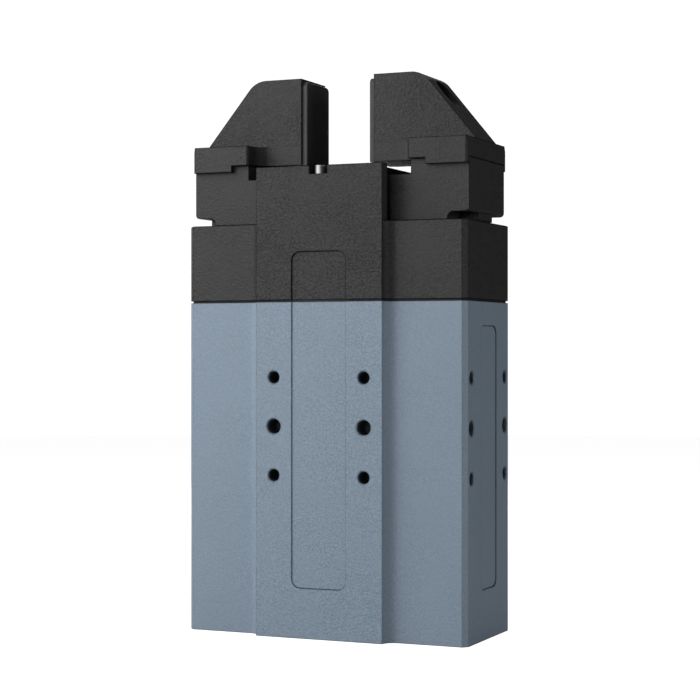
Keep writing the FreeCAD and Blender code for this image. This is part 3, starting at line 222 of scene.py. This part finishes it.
def blasted_anodised(name, colour, grain, contrast, strength, rough, specular, worn_and_highlight_colour, painted_shade_on_upright_edges):
    """Bead-blasted, anodised aluminium: pitted grain, pale upright edges that are partly edge wear and
    partly painted highlight, painted shade along edges that is strongest on level edges, and painted shade
    in holes and slots.
    """
    finish = Finish(name)
    drift = finish.noise(18 * MM, 3.0)
    speckle = finish.remap(finish.noise(grain, 2.0, 0.6), 0.33, 0.67, 0.0, 1.0)
    coarse = coarse_places(finish)
    tone = finish.mix(finish.remap(drift, 0.3, 0.7, 0.0, 1.0), shade(colour, 0.96), shade(colour, 1.04))
    pitted = finish.mix(speckle, shade(colour, 1.0 - contrast), shade(colour, 1.0 + contrast))
    tone = finish.mix(coarse, tone, pitted)
    # Pale upright edges: partly patchy edge wear, partly painted highlight where light catches the edge;
    # kept off edges that face up or down.
    wear_and_highlight_patch = finish.remap(finish.noise(1.6 * MM, 4.0, 0.65), 0.42, 0.62, 0.1, 0.8)
    edge_wear_and_highlight = finish.arithmetic("MULTIPLY", finish.edge(EDGE_REACH), wear_and_highlight_patch)
    edge_wear_and_highlight = finish.arithmetic("MULTIPLY", edge_wear_and_highlight, finish.upright(EDGE_REACH))
    # Painted shade along edges: full on edges whose rounded normal points up or down, scaled down on upright
    # edges; it darkens the base colour.
    edge_shade_by_facing = finish.remap(finish.upright(EDGE_SHADE_REACH), 0.0, 1.0, 1.0, painted_shade_on_upright_edges)
    painted_edge_shade = finish.arithmetic("MULTIPLY", finish.edge(EDGE_SHADE_REACH, 0.015, 0.06), edge_shade_by_facing)
    tone = finish.mix(painted_edge_shade, finish.mix(edge_wear_and_highlight, tone, worn_and_highlight_colour), shade(colour, 0.1))
    # Painted shade in holes and slots: the base colour turns dark where little is open around the surface.
    tone = finish.mix(finish.open_sky(HOLE_SHADE_REACH), shade(colour, 0.12), tone)
    finish.feed("Base Color", tone)
    finish.feed("Roughness", finish.remap(speckle, 0.0, 1.0, rough - 0.06, rough + 0.06))
    # The painted edge shade also takes the specular away along those edges.
    finish.feed("Specular IOR Level", finish.remap(painted_edge_shade, 0.0, 1.0, specular, 0.0))
    height = finish.arithmetic("MULTIPLY", speckle, coarse)
    finish.bump([(finish.noise(grain * 4.0, 3.0), strength * 0.4), (height, strength)], grain * 0.3)
    return finish.material


def ground_metal(name, colour, rough, direction):
    """Ground or turned bare metal: fine lines along one direction and a faint stain."""
    finish = Finish(name)
    lines = finish.noise(0.25 * MM, 2.0, 0.55, stretch=direction)
    stain = finish.noise(5 * MM, 3.0)
    tone = finish.mix(finish.remap(stain, 0.35, 0.7, 0.0, 1.0), shade(colour, 0.88), shade(colour, 1.04))
    finish.feed("Base Color", finish.mix(finish.remap(lines, 0.3, 0.7, 0.0, 0.5), tone, shade(colour, 0.72)))
    finish.feed("Roughness", finish.remap(lines, 0.3, 0.7, rough - 0.06, rough + 0.08))
    finish.bump([(lines, 0.25)], 0.02 * MM)
    finish.set(Metallic=1.0)
    return finish.material


def moulded(name, colour, rough, grain, strength, specular=0.5):
    """Moulded rubber or plastic with a fine cloudy tone and a soft texture."""
    finish = Finish(name)
    cloud = finish.noise(3 * MM, 3.0)
    skin = finish.noise(grain, 2.0, 0.55)
    tone = finish.mix(finish.remap(cloud, 0.3, 0.7, 0.0, 1.0), shade(colour, 0.85), shade(colour, 1.2))
    finish.feed("Base Color", tone)
    finish.feed("Roughness", finish.remap(skin, 0.3, 0.7, rough - 0.06, rough + 0.08))
    finish.bump([(skin, strength)], grain * 0.3)
    finish.set(Specular_IOR_Level=specular)
    return finish.material


def oxide_screw(name, colour):
    """Black oxide steel with bright rubbed edges."""
    finish = Finish(name)
    cloud = finish.noise(0.8 * MM, 3.0)
    tone = finish.mix(finish.remap(cloud, 0.3, 0.7, 0.0, 1.0), shade(colour, 0.7), shade(colour, 1.5))
    finish.feed("Base Color", finish.mix(finish.edge(0.08 * MM), tone, shade(STEEL, 0.35)))
    finish.feed("Roughness", finish.remap(cloud, 0.3, 0.7, 0.32, 0.48))
    finish.bump([(finish.noise(0.12 * MM), 0.2)], 0.02 * MM)
    finish.set(Metallic=0.6)
    return finish.material


def circuit_board(name, colour):
    """Solder mask over copper: tracks show as slightly raised, paler lanes."""
    finish = Finish(name)
    tracks = finish.node("ShaderNodeTexBrick", offset=0.37)
    tracks.inputs["Scale"].default_value = 700.0
    tracks.inputs["Mortar Size"].default_value = 0.012
    finish.link(finish.place, tracks.inputs["Vector"])
    finish.feed("Base Color", finish.mix(tracks.outputs["Fac"], colour, shade(colour, 2.2)))
    finish.feed("Roughness", finish.remap(finish.noise(2 * MM), 0.3, 0.7, 0.25, 0.4))
    finish.bump([(tracks.outputs["Fac"], 0.3)], 0.03 * MM)
    return finish.material


UPRIGHT_LINES = (6.0, 6.0, 0.25)
LONG_LINES = (0.15, 6.0, 6.0)
ROUND_LINES = (1.0, 1.0, 8.0)

FINISHES = {
    "blue_grey_anodised": blasted_anodised(
        "blue_grey_anodised", BLUE_GREY, grain=0.38 * MM, contrast=0.2, strength=0.5, rough=0.55,
        specular=0.28, worn_and_highlight_colour=(0.33, 0.38, 0.43), painted_shade_on_upright_edges=0.4),
    "black_anodised": blasted_anodised(
        "black_anodised", BLACK_ANODISED, grain=0.44 * MM, contrast=0.85, strength=0.7, rough=0.55,
        specular=0.30, worn_and_highlight_colour=(0.04, 0.039, 0.039), painted_shade_on_upright_edges=0.9),
    "grip_rubber": moulded("grip_rubber", PAD_RUBBER, 0.55, 0.12 * MM, 0.15, 0.35),
    "dark_rubber": moulded("dark_rubber", GASKET, 0.7, 0.1 * MM, 0.3, 0.3),
    "black_plastic": moulded("black_plastic", NYLON, 0.45, 0.15 * MM, 0.3),
    "bright_screw": ground_metal("bright_screw", STEEL, 0.3, ROUND_LINES),
    "black_screw": oxide_screw("black_screw", BLACK_OXIDE),
    "ground_steel": ground_metal("ground_steel", PIN_STEEL, 0.42, UPRIGHT_LINES),
    "gear_steel": ground_metal("gear_steel", GEAR_STEEL, 0.32, ROUND_LINES),
    "nickel_plate": ground_metal("nickel_plate", NICKEL, 0.22, ROUND_LINES),
    "plain_aluminium": ground_metal("plain_aluminium", ALUMINIUM, 0.38, LONG_LINES),
    "brass": ground_metal("brass", BRASS, 0.32, ROUND_LINES),
    "gold_contact": ground_metal("gold_contact", GOLD, 0.22, ROUND_LINES),
    "copper_winding": ground_metal("copper_winding", COPPER, 0.4, (1.0, 1.0, 0.2)),
    "dark_magnet": ground_metal("dark_magnet", MAGNET, 0.4, ROUND_LINES),
    "circuit_board": circuit_board("circuit_board", BOARD_GREEN),
}


def dress_nodes():
    """Give each CAD node the finish that the record names for it."""
    for part in frame["record"]["subparts"]:
        piece = frame["nodes"][part["node"]]
        piece.data.materials.clear()
        piece.data.materials.append(FINISHES[part["material_slot"]])


def area_light(name, place, size, power):
    """A rectangular lamp that points at the middle of the object."""
    data = bpy.data.lights.new(name, "AREA")
    data.shape = "RECTANGLE"
    data.size, data.size_y = size
    data.energy = power
    lamp = bpy.data.objects.new(name, data)
    lamp.location = place
    middle = (cad_low + cad_high) / 2
    lamp.rotation_euler = (middle - Vector(place)).to_track_quat("-Z", "Y").to_euler()
    bpy.context.scene.collection.objects.link(lamp)


def studio():
    """White surroundings to the eye, a soft key from the upper front left, and a dim right side."""
    for name, (place, size, power) in LIGHTS.items():
        area_light(name, place, size, power)

    world = bpy.data.worlds.new("studio")
    bpy.context.scene.world = world
    world.use_nodes = True
    tree = world.node_tree
    plain = tree.nodes["Background"]
    plain.inputs["Color"].default_value = (1.0, 1.0, 1.0, 1.0)
    plain.inputs["Strength"].default_value = AMBIENT
    seen = tree.nodes.new("ShaderNodeBackground")
    seen.inputs["Color"].default_value = (1.0, 1.0, 1.0, 1.0)
    seen.inputs["Strength"].default_value = BACKDROP
    path = tree.nodes.new("ShaderNodeLightPath")
    choose = tree.nodes.new("ShaderNodeMixShader")
    tree.links.new(path.outputs["Is Camera Ray"], choose.inputs[0])
    tree.links.new(plain.outputs[0], choose.inputs[1])
    tree.links.new(seen.outputs[0], choose.inputs[2])
    tree.links.new(choose.outputs[0], tree.nodes["World Output"].inputs["Surface"])


def floor():
    """A round pale floor, level with the bottom of the housing, lit evenly to the eye."""
    bpy.ops.mesh.primitive_circle_add(vertices=96, radius=0.9, fill_type="NGON", location=(0, 0, cad_low.z))
    disc = bpy.context.object
    disc.name = "floor"
    pale = Finish("pale_floor")
    path = pale.node("ShaderNodeLightPath")
    pale.feed("Emission Strength", pale.arithmetic("MULTIPLY", path.outputs["Is Camera Ray"], FLOOR_GLOW))
    pale.set(Base_Color=(0.32, 0.32, 0.32, 1.0), Emission_Color=(1.0, 1.0, 1.0, 1.0),
             Roughness=0.9, Specular_IOR_Level=0.1)
    disc.data.materials.append(pale.material)


def camera():
    back = Vector((math.sin(VIEW_TURN), -math.cos(VIEW_TURN), 0.0))
    right = Vector((math.cos(VIEW_TURN), math.sin(VIEW_TURN), 0.0))
    data = bpy.data.cameras.new("view")
    data.lens = LENS
    data.sensor_width = SENSOR
    eye = bpy.data.objects.new("view", data)
    eye.location = back * VIEW_DISTANCE + right * VIEW_SIDE + Vector((0, 0, VIEW_HEIGHT))
    eye.rotation_euler = (-back).to_track_quat("-Z", "Y").to_euler()
    data.clip_start = 0.01
    data.clip_end = 50.0
    bpy.context.scene.collection.objects.link(eye)
    bpy.context.scene.camera = eye


camera()
dress_nodes()
floor()
studio()
bpy.context.scene.view_settings.view_transform = "Standard"
